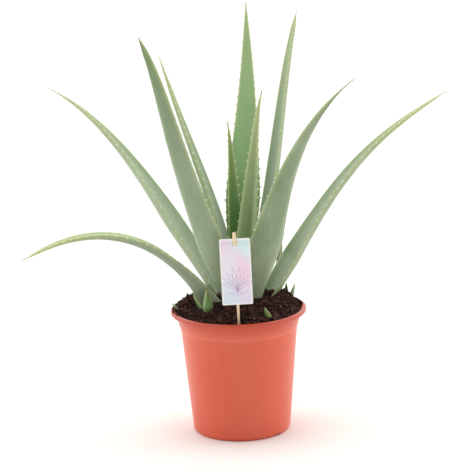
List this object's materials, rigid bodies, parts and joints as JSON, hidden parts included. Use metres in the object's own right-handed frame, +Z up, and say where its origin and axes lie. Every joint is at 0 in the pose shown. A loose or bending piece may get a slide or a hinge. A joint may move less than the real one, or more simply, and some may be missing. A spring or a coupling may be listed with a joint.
{
  "type": "potted aloe plant",
  "caption": "Young aloe with long tapering toothed leaves, small offsets round its foot, peat, a tapered plastic nursery pot and a blank card label on a wooden stick.",
  "frame": {"origin": "middle of the pot's underside, on the surface it stands on", "axes": "+Z up along the pot's axis; -Y is the front, where the label stands; +X is to the right seen from the front"},
  "size_m": [0.4709, 0.2748, 0.4731],
  "materials": {
    "pot_plastic": "satin",
    "peat": "matte",
    "stem": "matte",
    "leaf": "satin",
    "offset_leaf": "satin",
    "label_card": "satin",
    "stick_wood": "matte"
  },
  "bodies": {
    "root": {"pot": "pot_plastic", "peat": "peat", "stem_and_roots": "stem", "leaf_inner_left": "leaf", "leaf_inner_front": "leaf", "leaf_centre_back": "leaf", "leaf_back_right": "leaf", "leaf_back_left": "leaf", "leaf_front_left": "leaf", "leaf_front_right": "leaf", "leaf_upper_left": "leaf", "leaf_far_right": "leaf", "leaf_arching_left": "leaf", "offset_left_dark": "offset_leaf", "offset_left_bright": "offset_leaf", "offset_front_right": "offset_leaf", "offset_rim_left": "offset_leaf", "offset_back_left": "offset_leaf", "offset_back_tall": "offset_leaf", "offset_back_right": "offset_leaf", "offset_rim_right": "offset_leaf", "plant_label": "label_card", "label_stick": "stick_wood"}
  },
  "joints": []
}
